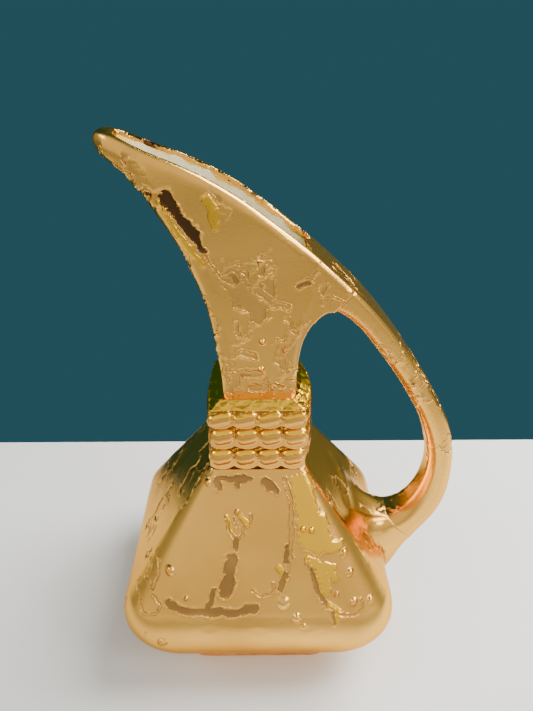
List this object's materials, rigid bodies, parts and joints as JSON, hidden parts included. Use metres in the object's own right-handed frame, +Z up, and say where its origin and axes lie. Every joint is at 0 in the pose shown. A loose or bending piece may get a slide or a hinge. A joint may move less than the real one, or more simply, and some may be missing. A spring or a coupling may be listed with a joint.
{
  "type": "pouring ewer",
  "caption": "Tall glazed pouring ewer with a square pyramid body, roped collar, open beaked spout and loop handle.",
  "frame": {"origin": "middle of the resting face under the foot ring", "axes": "+Z up, +X towards the handle (the spout points to -X), +Y towards the back; the pot is symmetric about the XZ plane"},
  "size_m": [0.1624, 0.1212, 0.2546],
  "materials": {
    "gold_lustre": "gloss",
    "foot_lustre": "satin",
    "ivory_glaze": "gloss"
  },
  "bodies": {
    "root": {"foot": "foot_lustre", "body": "gold_lustre", "lower_rope_band": "gold_lustre", "middle_rope_band": "gold_lustre", "upper_rope_band": "gold_lustre", "neck_spout": "gold_lustre", "handle": "gold_lustre", "glaze_lining": "ivory_glaze"}
  },
  "joints": []
}
